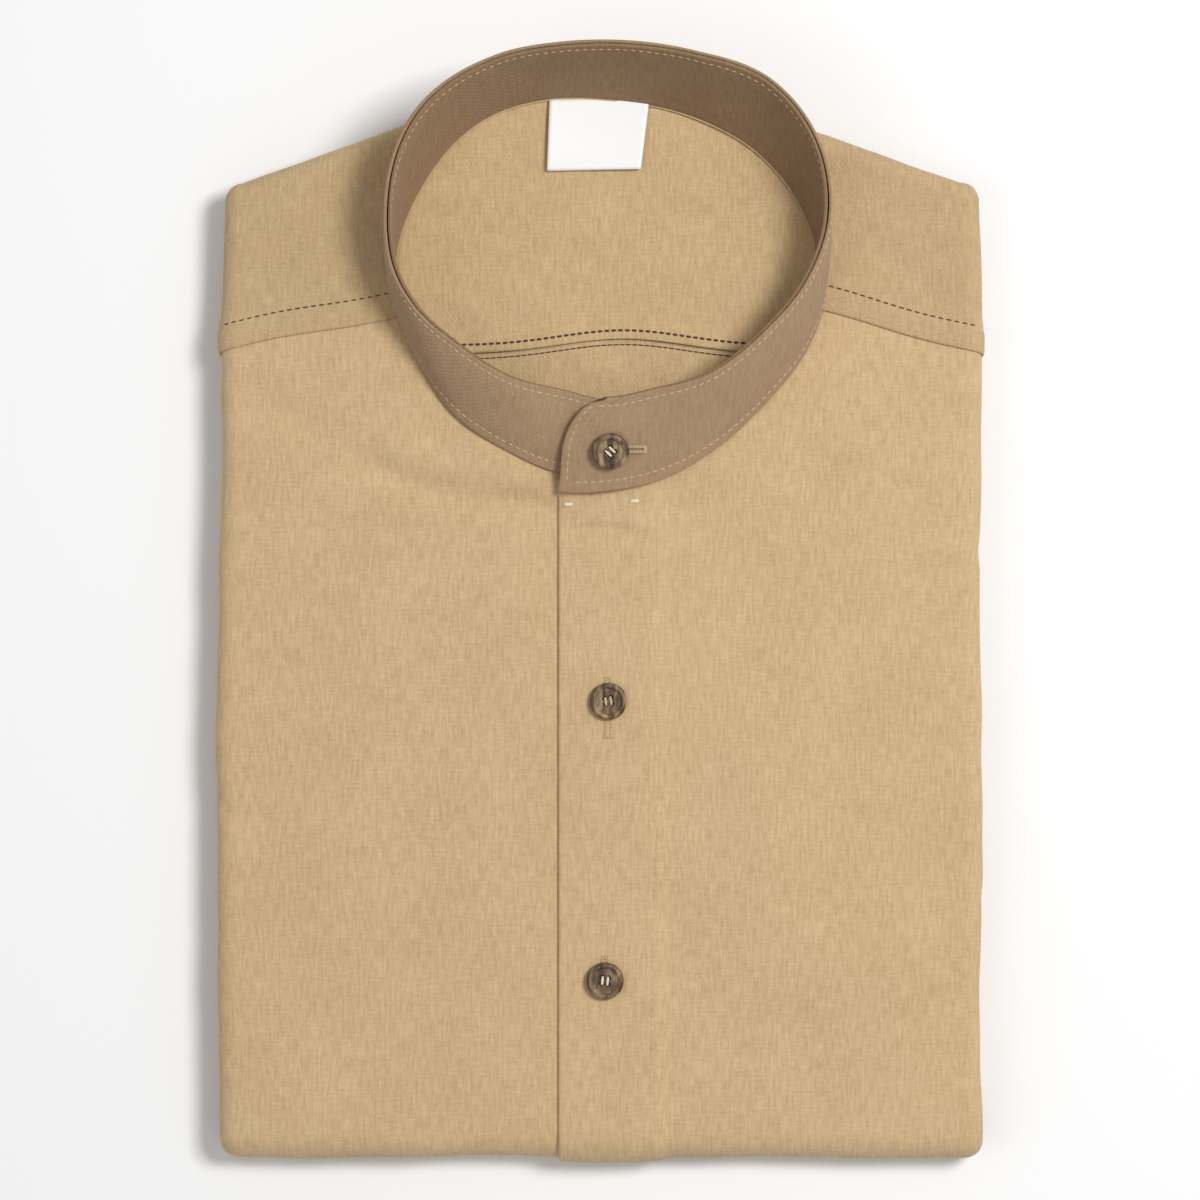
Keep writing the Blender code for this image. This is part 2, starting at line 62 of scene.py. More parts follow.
# ---- the folded body, as in the solids ----
HALF_WIDTH = 117.0 * MM
TAIL_FOLD_Y = -169.5 * MM
CHEST_TOP = 17.0 * MM
SHOULDER_Y = 147.5 * MM
SHOULDER_X = 61.0 * MM
SHOULDER_SLOPE = 0.345
BACK_NECK_Y = 162.5 * MM
BACK_NECK_SOFTNESS = 3.0 * MM
UPPER_MIDDLE = 12.35 * MM
UPPER_HALF = 4.65 * MM
TAIL_MIDDLE = 3.65 * MM
TAIL_HALF = 3.65 * MM
SIDE_ROLL = 5.5 * MM
FOLD_MIDDLE = 8.0 * MM
FOLD_REACH = 8.5 * MM
FOLD_LIFT = 0.5 * MM
FOLD_PATH = 4.35 * MM
TAIL_STEP = 5.0 * MM
CORE_CORNER = 10.0 * MM
WRAP_END = math.radians(145)
TUCK = math.radians(112)
SHOULDER_WRAP = math.radians(135)
FLAT = HALF_WIDTH - SIDE_ROLL
PLACKET_EDGE_X = -13.0 * MM
PLACKET_INNER_X = 17.0 * MM
PLACKET_RISE = 1.3 * MM
CLOTH_THICK = 0.5 * MM
STEP = 1.5 * MM  # spacing of the points of a cloth
YOKE_SEAM = {"left": (68.0 * MM, 91.3 * MM, 0.262), "right": (-63.3 * MM, 89.7 * MM, 0.194)}

# ---- the band collar: angle, reach and height of its base, reach and height of its top edge ----
BASE_CENTRE = (2.3 * MM, 97.0 * MM)
TOP_CENTRE = (2.6 * MM, 116.0 * MM)
BAND_STATIONS = (
    (-104, 61.8, 20.4, 53.0, 28.6), (-90, 59.8, 20.4, 52.8, 29.0), (-75, 58.5, 20.1, 52.0, 29.6),
    (-57, 57.2, 18.5, 54.4, 31.5), (-35, 58.0, 18.2, 57.0, 33.5), (-15, 62.6, 17.9, 62.2, 35.5),
    (0, 65.8, 17.6, 65.8, 37.6), (20, 66.1, 17.6, 67.1, 40.6), (40, 64.4, 17.9, 64.4, 42.4),
    (63, 61.0, 18.2, 56.6, 43.4), (90, 60.1, 18.3, 53.6, 43.8), (107, 62.9, 18.3, 55.2, 43.8),
    (124, 65.9, 18.1, 59.5, 43.6), (150, 66.7, 17.8, 66.4, 42.2), (178, 66.2, 17.6, 67.0, 38.6),
    (193, 62.8, 17.8, 66.2, 35.6), (204, 60.6, 18.0, 63.5, 33.6), (217, 59.3, 18.3, 59.0, 31.2),
    (238, 56.6, 18.5, 55.0, 27.8), (254, 56.3, 18.5, 52.3, 25.2), (270, 55.5, 18.5, 53.4, 24.3),
    (285, 55.0, 18.5, 53.4, 24.0),
)
BAND_HEIGHT = 27.2 * MM
BAND_OFFSET = 0.72 * MM
BAND_HALF_WALL = 0.5 * MM
BAND_BOW = 0.5 * MM
BAND_FOOT = -0.045  # the band reaches this share of its height down to the panels
TAB_ROUND = 13.0
TAB_ROUND_FROM = 0.35
NECK_SEAM = 2.2 * MM

# ---- creases: from x, y to x, y, half width and depth in mm; a negative depth is a ridge ----
CREASES = (
    (-66, 41, -15, 28.5, 4.2, 2.3), (-60, 49, -16, 37, 6.0, -1.0), (-104, 62, -76, 47, 6.0, 1.2),
    (-7.5, 23.5, 7, 23.8, 1.5, 1.7), (11, 20.5, 18, 20.0, 2.6, 1.0), (-11.5, 33, -3, 33.4, 1.5, 1.0),
    (24, 30, 70, 41, 5.0, 1.2), (-92, -20, -40, -34, 12.0, 0.6), (40, -58, 98, -40, 13.0, 0.6),
    (-100, -120, -50, -108, 12.0, 0.5), (30, -132, 92, -138, 12.0, 0.5), (103, 8, 119, 16, 3.5, 0.7),
    (-119, -58, -104, -66, 3.5, 0.7), (104, -96, 119, -90, 4.0, 0.6), (-118, 74, -103, 66, 3.5, 0.6),
    (80, 112, 104, 96, 5.0, 0.7), (-84, 124, -66, 132, 4.0, 0.6), (-96, 108, -80, 118, 5.0, 0.5),
)
# ---- how far the side edges stand in from the half width: y, wearer's right side, left side, in mm ----
SIDE_EDGES = (
    (-158, 0.1, 0.0), (-128, -0.2, 0.0), (-82, -0.8, -0.5), (-38, -1.1, 0.1), (8, 0.1, 0.1),
    (53, 1.0, -0.2), (83, 0.1, -0.2), (128, 1.6, 1.0),
)

FRONT_BUTTONS = {"button_front_1": (2.4 * MM, -28.9 * MM), "button_front_2": (1.4 * MM, -114.4 * MM)}
BUTTON_RADIUS = 5.7 * MM
BUTTON_THICK = 2.4 * MM
BUTTON_HOLE_RADIUS = 0.75 * MM
BUTTON_HOLE_REACH = 1.35 * MM


# ---------------------------------------------------------------- numbers and colours


def linear(hex_colour):
    """An sRGB hex value as linear red, green, blue and full alpha."""
    value = np.array([int(hex_colour[i : i + 2], 16) for i in (1, 3, 5)]) / 255
    value = np.where(value <= 0.04045, value / 12.92, ((value + 0.055) / 1.055) ** 2.4)
    return (*value, 1.0)


def soft_waves(x, y, size, seed):
    """Sum of seven sine waves of about one length, in seeded directions: a smooth field from -1 to 1."""
    draw = np.random.default_rng(seed)
    turn, phase = draw.uniform(0, 2 * math.pi, (2, 7))
    length = size * draw.uniform(0.7, 1.6, 7)
    run = x[..., None] * np.cos(turn) + y[..., None] * np.sin(turn)
    return np.sin(2 * math.pi * run / length + phase).sum(axis=-1) / 4


def smooth(value, low, high):
    """0 below low, 1 above high, and a smooth cubic between."""
    share = np.clip((value - low) / (high - low), 0, 1)
    return share * share * (3 - 2 * share)


def crease_lift(x, y):
    """Height that the creases add: each a bell across its line, uneven along it, that fades past its ends."""
    lift = 0.55 * MM * soft_waves(x, y, 62 * MM, 3) + 0.16 * MM * soft_waves(x, y, 21 * MM, 5)
    for number, row in enumerate(CREASES):
        ax, ay, bx, by, width, depth = (value * MM for value in row)
        length = math.hypot(bx - ax, by - ay)
        ux, uy = (bx - ax) / length, (by - ay) / length
        run = (x - ax) * ux + (y - ay) * uy
        bend = 0.35 * width * np.sin(run / length * 5 + number)
        away = (y - ay) * ux - (x - ax) * uy + bend
        past = np.maximum(np.maximum(-run, run - length), 0)
        uneven = 0.8 + 0.2 * np.sin(run / length * 9 + 2 * number)
        lift = lift - depth * uneven * np.exp(-((away / width) ** 2) - (past / (1.6 * width)) ** 2)
    return lift


# ---------------------------------------------------------------- form of the folded body


def shoulder_fold_y(x):
    """Top edge: two sloping shoulders that flatten into the back of the neck, by a soft minimum."""
    line = SHOULDER_Y + SHOULDER_SLOPE * (SHOULDER_X - np.abs(x))
    soft = BACK_NECK_SOFTNESS
    return BACK_NECK_Y - soft * np.log1p(np.exp((BACK_NECK_Y - line) / soft))


def yoke_seam_y(x):
    """The seam between yoke and fronts: a straight fall from the neck to each side, a little wavy."""
    left_x, left_y, left_fall = YOKE_SEAM["left"]
    right_x, right_y, right_fall = YOKE_SEAM["right"]
    wave = 0.5 * MM * np.sin(x / (9 * MM))
    return wave + np.where(x > 0, left_y - left_fall * (x - left_x), right_y + right_fall * (x - right_x))


def side_drift(x, y):
    """The side edges wander: the inset read from the table for the side, in proportion to x."""
    rows = np.array(SIDE_EDGES) * MM
    inset = np.where(x < 0, np.interp(y, rows[:, 0], rows[:, 1]), np.interp(y, rows[:, 0], rows[:, 2]))
    return -inset * smooth(np.abs(x), 0.4 * HALF_WIDTH, HALF_WIDTH) * np.sign(x)


def lay_on_body(across, along, lift):
    """A point of the flat cloth on the folded body: past the flat part it turns round the side fold, the
    tail fold or the shoulder fold by the arc that is left over, lift above the body's outer face."""
    across, along, lift = np.broadcast_arrays(across, along, lift)
    side = np.sign(across)
    x_flat = np.clip(across, -FLAT, FLAT)
    turn = (np.abs(across) - np.abs(x_flat)) / SIDE_ROLL
    fold_y = TAIL_FOLD_Y + FOLD_REACH
    fold = np.clip((fold_y - along) / FOLD_REACH, 0, None)
    quarter = math.pi / 2
    turn = np.where(turn > quarter, quarter + (turn - quarter) * np.clip(1 - 3 * fold, 0, 1), turn)
    start = shoulder_fold_y(x_flat) - SIDE_ROLL
    shoulder = np.clip((along - start) / SIDE_ROLL, 0, None)
    together = np.maximum(turn, shoulder)
    length = np.maximum(np.hypot(turn, shoulder), 1e-12)
    x = x_flat + side * (SIDE_ROLL + lift) * np.sin(together) * turn / length
    y = np.minimum(along, start) + (SIDE_ROLL + lift) * np.sin(together) * shoulder / length
    z = UPPER_MIDDLE + (UPPER_HALF + lift) * np.cos(together)
    half = UPPER_HALF - FOLD_LIFT + FOLD_LIFT * np.cos(fold)
    reach = FOLD_PATH + (half + lift) * np.cos(turn)
    y = np.where(fold > 0, fold_y - reach * np.sin(fold), y)
    z = np.where(fold > 0, FOLD_MIDDLE + reach * np.cos(fold), z)
    return np.stack([x + side_drift(x, y), y, z], axis=-1)


# ---------------------------------------------------------------- meshes


def add_piece(name, points, faces, material, flat_points=None):
    """A smooth-shaded mesh at the origin that rides on the shirt; its flat-cloth points are UVs in metres."""
    mesh = bpy.data.meshes.new(name)
    mesh.from_pydata(points.tolist(), [], faces if isinstance(faces, list) else faces.tolist())
    if flat_points is not None:
        corner = np.empty(len(mesh.loops), dtype=np.int32)
        mesh.loops.foreach_get("vertex_index", corner)
        layer = mesh.uv_layers.new(name="cloth")
        layer.data.foreach_set("uv", flat_points[corner].astype(np.float32).ravel())
    mesh.materials.append(material)
    mesh.shade_smooth()
    made = bpy.data.objects.new(name, mesh)
    bpy.context.scene.collection.objects.link(made)
    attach(made, "root")
    return made


def grid_quads(rows, columns, round_columns=False):
    """Quads of a grid of points that run row by row; round_columns joins the last column to the first."""
    i, j = np.meshgrid(np.arange(rows - 1), np.arange(columns - (not round_columns)), indexing="ij")
    after = (j + 1) % columns
    here, above = i * columns, (i + 1) * columns
    quads = np.stack([here + j, here + after, above + after, above + j])
    return quads.reshape(4, -1).T


def add_cloth(name, grid, flat, material, node, thick=CLOTH_THICK):
    """A grid of points as one thin shell under its face. It stands for its solid, which it hides."""
    rows, columns = grid.shape[:2]
    made = add_piece(
        name, grid.reshape(-1, 3), grid_quads(rows, columns), material, flat.reshape(-1, 2)
    )
    wall = made.modifiers.new("wall", "SOLIDIFY")
    wall.thickness = thick
    wall.offset = -1
    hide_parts(node)
    return made


def spaced(*stops):
    """Values from stop to stop at the cloth's point spacing, each stop once."""
    runs = [np.linspace(a, b, max(2, round((b - a) / STEP) + 1))[:-1] for a, b in zip(stops, stops[1:])]
    return np.concatenate([*runs, stops[-1:]])


# ---------------------------------------------------------------- materials


def add_node(tree, kind, settings=None, **links):
    """One shader node: settings are attributes, or values of inputs where the name is an input's; links join
    an input, named with _ for a space, to another node's output socket."""
    node = tree.nodes.new(kind)
    for key, value in (settings or {}).items():
        if key in node.inputs:
            node.inputs[key].default_value = value
        else:
            setattr(node, key, value)
    for key, socket in links.items():
        tree.links.new(node.inputs[key.replace("_", " ")], socket)
    return node


def blank_material(name, **values):
    """A material with a Principled shader whose constant inputs are given by name."""
    made = bpy.data.materials.new(name)
    made.use_nodes = True
    shader = made.node_tree.nodes["Principled BSDF"]
    for key, value in values.items():
        shader.inputs[key.replace("_", " ")].default_value = value
    return made, made.node_tree, shader


def slub_cloth(name, dark, light, twill_turn=38, twill_depth=0.10):
    """Slub weave of viscose and linen, woven in a fine twill: matt, with thick places in single threads that
    show as short pale streaks both ways, and a soft unevenness of colour. Roughness near 0.9."""
    made, tree, shader = blank_material(name, Roughness=0.9, Sheen_Weight=0.12, Sheen_Roughness=0.6)
    shader.inputs["Specular IOR Level"].default_value = 0.2
    uv = add_node(tree, "ShaderNodeUVMap", {"uv_map": "cloth"}).outputs["UV"]
    streaks = []
    for stretch in ((1 / (0.8 * MM), 1 / (6 * MM), 1), (1 / (5 * MM), 1 / (0.7 * MM), 1)):
        place = add_node(tree, "ShaderNodeMapping", {"Scale": stretch}, Vector=uv)
        streaks.append(add_node(tree, "ShaderNodeTexNoise", {"Scale": 1.0, "Detail": 3.0, "Roughness": 0.6},
                                Vector=place.outputs["Vector"]).outputs["Fac"])
    patches = add_node(tree, "ShaderNodeTexNoise", {"Scale": 1 / (26 * MM), "Detail": 3.0}, Vector=uv)
    both = add_node(tree, "ShaderNodeMath", {"operation": "MULTIPLY_ADD"})
    tree.links.new(both.inputs[0], streaks[1])
    both.inputs[1].default_value = 0.55
    tree.links.new(both.inputs[2], streaks[0])
    tone = add_node(tree, "ShaderNodeMath", {"operation": "MULTIPLY_ADD"})
    tree.links.new(tone.inputs[0], patches.outputs["Fac"])
    tone.inputs[1].default_value = 0.25
    tree.links.new(tone.inputs[2], both.outputs[0])
    spread = add_node(tree, "ShaderNodeMapRange", {"From Min": 0.45, "From Max": 1.35},
                      Value=tone.outputs[0])
    shade = add_node(tree, "ShaderNodeMix", {"data_type": "RGBA"})
    shade.inputs[6].default_value = linear(dark)
    shade.inputs[7].default_value = linear(light)
    tree.links.new(shade.inputs[0], spread.outputs["Result"])
    tree.links.new(shader.inputs["Base Color"], shade.outputs[2])
    # Twill ribs lie 0.5 mm apart in such a cloth, and are coarsened to 1.2 mm so that they show.
    turned = add_node(tree, "ShaderNodeMapping", {"Rotation": (0, 0, math.radians(twill_turn))}, Vector=uv)
    rib_settings = {"Scale": 1 / (1.2 * MM) / math.pi, "Distortion": 1.2, "Detail": 2.0}
    ribs = add_node(tree, "ShaderNodeTexWave", rib_settings, Vector=turned.outputs["Vector"])
    raised = add_node(tree, "ShaderNodeMath", {"operation": "MULTIPLY_ADD"})
    tree.links.new(raised.inputs[0], ribs.outputs["Fac"])
    raised.inputs[1].default_value = 0.5
    tree.links.new(raised.inputs[2], both.outputs[0])
    bump = add_node(tree, "ShaderNodeBump", {"Strength": 0.7, "Distance": twill_depth * MM},
                    Height=raised.outputs[0])
    tree.links.new(shader.inputs["Normal"], bump.outputs["Normal"])
    return made


def horn_button(name, dark, middle, light, roughness):
    """Horn-look polyester, turned and brushed: brown with paler drifts, a low gloss that is softer on the
    collar's button."""
    made, tree, shader = blank_material(name, Roughness=roughness, IOR=1.55)
    place = add_node(tree, "ShaderNodeTexCoord").outputs["Object"]
    turn_settings = {"Rotation": (0, 0, 0.5), "Scale": (1, 0.28, 1)}
    turned = add_node(tree, "ShaderNodeMapping", turn_settings, Vector=place)
    drift_settings = {"Scale": 1 / (2.2 * MM), "Detail": 4.0, "Distortion": 0.8}
    drift = add_node(tree, "ShaderNodeTexNoise", drift_settings, Vector=turned.outputs["Vector"])
    ramp = add_node(tree, "ShaderNodeValToRGB", Fac=drift.outputs["Fac"])
    stops = ramp.color_ramp.elements
    stops[0].position, stops[0].color = 0.36, linear(dark)
    stops[1].position, stops[1].color = 0.68, linear(light)
    stops.new(0.52).color = linear(middle)
    tree.links.new(shader.inputs["Base Color"], ramp.outputs["Color"])
    return made


def thread(name, colour):
    """Spun polyester sewing thread: matt, with the faint uneven tone of its twist."""
    made, tree, shader = blank_material(name, Roughness=0.75, Sheen_Weight=0.1)
    place = add_node(tree, "ShaderNodeTexCoord").outputs["Object"]
    twist = add_node(tree, "ShaderNodeTexNoise", {"Scale": 1 / (0.9 * MM)}, Vector=place)
    tone = add_node(tree, "ShaderNodeMapRange", {"To Min": 0.75, "To Max": 1.2}, Value=twist.outputs["Fac"])
    shade = add_node(tree, "ShaderNodeVectorMath", {"operation": "SCALE"})
    shade.inputs[0].default_value = linear(colour)[:3]
    tree.links.new(shade.inputs["Scale"], tone.outputs["Result"])
    tree.links.new(shader.inputs["Base Color"], shade.outputs["Vector"])
    return made


def satin(name, colour):
    """White woven satin ribbon: long floats that give a soft sheen, with fine ribs across."""
    made, tree, shader = blank_material(name, Roughness=0.42, Sheen_Weight=0.2)
    shader.inputs["Base Color"].default_value = linear(colour)
    uv = add_node(tree, "ShaderNodeUVMap", {"uv_map": "cloth"}).outputs["UV"]
    # Ribs lie 0.2 mm apart in such a ribbon, and are coarsened to 0.6 mm.
    ribs = add_node(tree, "ShaderNodeTexWave", {"Scale": 1 / (0.6 * MM) / math.pi, "bands_direction": "Y"},
                    Vector=uv)
    bump = add_node(tree, "ShaderNodeBump", {"Strength": 0.25, "Distance": 0.05 * MM},
                    Height=ribs.outputs["Fac"])
    tree.links.new(shader.inputs["Normal"], bump.outputs["Normal"])
    return made


FRONT_CLOTH = slub_cloth("slub_cloth_fronts", "#ae8f66", "#dcc096")
YOKE_CLOTH = slub_cloth("slub_cloth_yoke", "#a48863", "#d1b58b", twill_turn=-40)
INSIDE_CLOTH = slub_cloth("slub_cloth_inside", "#ab8d64", "#dabe93", twill_turn=-38)
# Painted shade: the band is the fronts' cloth, made darker to stand for the shade on its steep, turned faces.
BAND_CLOTH_PAINTED_SHADE = slub_cloth("painted_shade_band_cloth", "#8c7156", "#b59776", twill_turn=50, twill_depth=0.16)
# Painted shade: the lining is the same cloth, made darker still to stand for the shade inside the band.
BAND_LINING_PAINTED_SHADE = slub_cloth("painted_shade_band_lining", "#7b6046", "#a2835e", twill_turn=50, twill_depth=0.16)
HIDDEN_CLOTH = slub_cloth("slub_cloth_folded", "#a3855d", "#cdb186", twill_turn=90)
TAN_THREAD = thread("tan_thread", "#cdb48a")
DARK_THREAD = thread("dark_thread", "#4b3726")
PALE_THREAD = thread("cream_thread", "#e8dcc0")


# ---------------------------------------------------------------- fronts, yoke and the layers inside


def station_values(angle):
    """The band's rows read at any angle, by a cubic with the rows' own slopes."""
    rows = np.array(BAND_STATIONS, dtype=float)
    knots = rows[:, 0]
    angle = np.clip(angle, knots[0], knots[-1])
    at = np.clip(np.searchsorted(knots, angle, side="right") - 1, 0, len(knots) - 2)
    span = knots[at + 1] - knots[at]
    t = (angle - knots[at]) / span
    found = []
    for column in range(1, 5):
        values = rows[:, column] * MM
        slopes = np.gradient(values, knots)
        found.append(
            (2 * t**3 - 3 * t**2 + 1) * values[at] + (t**3 - 2 * t**2 + t) * span * slopes[at]
            + (3 * t**2 - 2 * t**3) * values[at + 1] + (t**3 - t**2) * span * slopes[at + 1]
        )
    return found


def neck_edge(first, last, inside):
    """Plan points of the neck edge between two angles, inside the band's middle line."""
    angle = np.arange(first, last + 0.1, 1.5)
    reach = station_values(angle)[0] - inside
    turn = np.radians(angle)
    return BASE_CENTRE[0] + reach * np.cos(turn), BASE_CENTRE[1] + reach * np.sin(turn)


def lip(low, high, profile_rows):
    """Rows of a cloth from low to high that start with a rolled edge given as (along, lift) steps in mm."""
    steps = np.array(profile_rows) * MM
    count = max(2, round(float(np.max(high - low)) / STEP))
    share = np.linspace(0, 1, count)[:, None]
    start = low + steps[-1, 0]
    along = np.concatenate([low + steps[:-1, :1], start + (high - start) * share])
    past_lip = np.full((count, len(low)), steps[-1, 1])
    lift = np.concatenate([np.repeat(steps[:-1, 1:], len(low), 1), past_lip])
    return along, lift


def make_front(name, node, across, neck, stand_lift, material):
    """One front: from under the tail fold up to the neck edge or the yoke seam, and round its side fold."""
    order = np.argsort(neck[0])
    neck_x, neck_y = neck[0][order], neck[1][order]
    tail = TAIL_FOLD_Y + FOLD_REACH - FOLD_REACH * np.linspace(WRAP_END, 0, 25)[:-1]
    seam = yoke_seam_y(across) + 2.0 * MM
    beside = across > neck_x.max() if across.max() > FLAT else across < neck_x.min()
    high = np.where(beside, seam, np.minimum(np.interp(across, neck_x, neck_y), seam))
    start = TAIL_FOLD_Y + FOLD_REACH
    rows = round(250 * MM / STEP)
    share = np.linspace(0, 1, rows)[:, None]
    along = np.concatenate([np.repeat(tail[:, None], len(across), 1), start + (high - start) * share])
    grid_x = np.broadcast_to(across, along.shape)
    under_yoke = 0.35 * MM * smooth(along, yoke_seam_y(grid_x) - 2.5 * MM, yoke_seam_y(grid_x) + 0.5 * MM)
    lift = stand_lift(grid_x, along) + crease_lift(grid_x, along) - np.where(beside, under_yoke, 0)
    lift = lift - 0.5 * MM
    grid = lay_on_body(grid_x, along, lift)
    flat = np.stack([grid_x, along], axis=-1)
    return add_cloth(name, grid, flat, material, node)


def stand_lift_left(x, y):
    """The button stand lies a layer higher, rolls over at its folded edge and sinks past its stitching."""
    edge = (x - PLACKET_EDGE_X) / (0.9 * MM)
    rolled = np.sqrt(np.clip(1 - (1 - np.clip(edge, 0, 1)) ** 2, 0, 1))
    sink = smooth(x, PLACKET_INNER_X - 1.0 * MM, PLACKET_INNER_X + 5 * MM)
    seam = 0.25 * MM * np.exp(-(((x - placket_stitch_x(y)) / (0.7 * MM)) ** 2))
    return PLACKET_RISE * (rolled * 0.9 + 0.1) * (1 - sink) + 0.5 * MM - seam


def placket_stitch_x(y):
    """The stand's inner stitching bows out a little between its ends."""
    return 15.0 * MM + 3.0 * MM * np.exp(-(((y + 25 * MM) / (85 * MM)) ** 2))


wrap = SIDE_ROLL * TUCK
left_across = np.concatenate(
    [PLACKET_EDGE_X + np.array([0, 0.12, 0.35, 0.7]) * MM, spaced(-12 * MM, 14 * MM, 26 * MM, FLAT)]
)
left_across = np.concatenate([left_across, FLAT + np.linspace(0, wrap, 15)[1:]])
make_front("front_left_cloth", "front_left", left_across, neck_edge(-104, 4, NECK_SEAM), stand_lift_left,
           FRONT_CLOTH)
right_across = spaced(-FLAT, PLACKET_INNER_X - 0.3 * MM)
right_across = np.concatenate([-FLAT - np.linspace(wrap, 0, 15)[:-1], right_across])
make_front("front_right_cloth", "front_right", right_across, neck_edge(176, 285, NECK_SEAM),
           lambda x, y: 0.5 * MM - 0.4 * MM * smooth(x, -14 * MM, -10 * MM), FRONT_CLOTH)


def yoke_lift(x, along, low):
    """The yoke stands up along its seam, over the seam allowance, and settles past the topstitching."""
    above = along - low
    dip = 0.3 * MM * np.exp(-(((above - 7.0 * MM) / (0.8 * MM)) ** 2))
    return 0.75 * MM * (1 - smooth(above, 5 * MM, 12 * MM)) - dip


neck_x, neck_y = neck_edge(8, 172, NECK_SEAM)
order = np.argsort(neck_x)
neck_x, neck_y = neck_x[order], neck_y[order]
across = np.concatenate([
    -FLAT - np.linspace(wrap, 0, 15)[:-1], spaced(-FLAT, neck_x.min() - 0.4 * MM),
    neck_x, spaced(neck_x.max() + 0.4 * MM, FLAT), FLAT + np.linspace(0, wrap, 15)[1:],
])
in_neck = (across > neck_x.min() - 0.1 * MM) & (across < neck_x.max() + 0.1 * MM)
low = np.where(in_neck, np.interp(across, neck_x, neck_y), yoke_seam_y(across))
high = shoulder_fold_y(np.clip(across, -FLAT, FLAT)) - SIDE_ROLL
along, lift = lip(low, high, ((-0.4, -0.35), (-0.9, 0.0), (-1.0, 0.3), (-0.6, 0.6), (0.0, 0.0)))
wrap_rows = SIDE_ROLL * np.linspace(0, SHOULDER_WRAP, 14)[1:]
along = np.concatenate([along, along[-1:] + wrap_rows[:, None]])
lift = np.concatenate([lift, np.zeros((13, len(across)))])
grid_x = np.broadcast_to(across, along.shape)
lip_rows = np.arange(len(along))[:, None] < 4
seam_lift = np.where(in_neck, 0, np.where(lip_rows, lift, yoke_lift(grid_x, along, low)))
along = np.where(in_neck & lip_rows, low + 0 * along, along)
yoke_grid = lay_on_body(grid_x, along, seam_lift + crease_lift(grid_x, along))
yoke_flat = np.stack([grid_x, along], axis=-1)
add_cloth("yoke_cloth", yoke_grid, yoke_flat, YOKE_CLOTH, "yoke")


def body_outline(step):
    """Plan outline of the hidden layers, anticlockwise, with its outward normals."""
    corner, half, low_y = CORE_CORNER, HALF_WIDTH, TAIL_FOLD_Y
    arc = np.radians(np.arange(-85, 1, 5.0))
    bottom_x = np.linspace(-half + corner, half - corner, round(2 * half / step))
    bottom = np.stack([bottom_x, np.full(len(bottom_x), low_y)], axis=1)
    lower = np.stack([half - corner + corner * np.cos(arc), low_y + corner + corner * np.sin(arc)], axis=1)
    slope = math.atan(SHOULDER_SLOPE)
    tip_y = float(shoulder_fold_y(np.array(half - corner))) - corner / math.cos(slope)
    side_y = np.linspace(low_y + corner, tip_y, round(3 * half / step))[1:]
    side = np.stack([np.full(len(side_y), half), side_y], axis=1)
    arc = np.linspace(0, math.pi / 2 - slope, 14)[1:]
    tip = np.stack([half - corner + corner * np.cos(arc), tip_y + corner * np.sin(arc)], axis=1)
    end = half - corner + corner * math.sin(slope) - 2 * MM
    top_x = np.linspace(end, -end, round(2 * half / step))
    top = np.stack([top_x, shoulder_fold_y(top_x)], axis=1)
    right = np.concatenate([lower, side, tip])
    points = np.concatenate([bottom, right, top, right[::-1] * np.array([-1, 1])])
    run = np.roll(points, -1, axis=0) - np.roll(points, 1, axis=0)
    normals = np.stack([run[:, 1], -run[:, 0]], axis=1)
    return points, normals / np.linalg.norm(normals, axis=1)[:, None]


def make_folded_layers():
    """Rings round the hidden layers from the top down: the upper bundle, the groove and the tail bundle, each
    notched into single layers at its edge; at the tail fold the rings go once round both."""
    outline, normals = body_outline(3 * MM)
    at_fold = np.clip((-normals[:, 1] - 0.2) / 0.6, 0, 1)
    at_shoulder = np.clip((normals[:, 1] - 0.3) / 0.5, 0, 1)
    room, rings_a_bundle = 2.4 * MM, 34
    top_inset, top_height = 22 * MM, 10.2 * MM
    rings = [(np.full(len(outline), top_inset), np.full(len(outline), top_height))]
    for part in range(2):
        for turn in np.linspace(0, math.pi, rings_a_bundle):
            fold = turn * 0.5 + part * math.pi / 2
            notch = 0.55 * MM * (1 - np.abs(np.sin(turn * 4.5))) ** 2 * np.sin(turn)
            if part == 0:
                inset = SIDE_ROLL - (SIDE_ROLL - 1.4 * MM) * math.sin(turn)
                height = UPPER_MIDDLE + (UPPER_HALF - (room if turn < 1.5 else 1.3 * MM)) * math.cos(turn)
            else:
                inset = SIDE_ROLL - (SIDE_ROLL - 0.3 * MM) * math.sin(turn)
                height = TAIL_MIDDLE + TAIL_HALF * math.cos(turn)
            spare = 1.5 * MM if fold < math.radians(150) else 0.0
            above = CHEST_TOP - FOLD_MIDDLE if math.cos(fold) > 0 else FOLD_MIDDLE
            fold_inset = FOLD_REACH - (FOLD_REACH - spare) * math.sin(fold)
            fold_height = FOLD_MIDDLE + (above - spare) * math.cos(fold)
            wave = 0.5 * MM * soft_waves(outline[:, 0] + 3 * turn * MM, outline[:, 1], 34 * MM, 11 + part)
            loose = (notch + np.abs(wave) * math.sin(turn)) * (1 - at_fold)
            inwards = inset + (fold_inset - inset) * at_fold + TAIL_STEP * at_shoulder * part + loose
            rings.append((inwards, height + (fold_height - height) * at_fold))
    plan = np.stack([outline - normals * inwards[:, None] for inwards, _ in rings])
    plan[..., 0] += side_drift(plan[..., 0], plan[..., 1])
    points = np.concatenate([plan, np.stack([z for _, z in rings])[..., None]], axis=-1)
    points[-1, :, 2] = 0
    count = len(outline)
    quads = grid_quads(len(rings), count, round_columns=True)[:, ::-1].tolist()
    quads.append(list(range(count)))
    quads.append(list(reversed(range((len(rings) - 1) * count, len(rings) * count))))
    flat = points[..., :2] + points[..., 2:3]
    made = add_piece(
        "folded_layers_cloth", points.reshape(-1, 3), quads, HIDDEN_CLOTH, flat.reshape(-1, 2)
    )
    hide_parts("folded_layers")


make_folded_layers()


# ---------------------------------------------------------------- inside of the neck


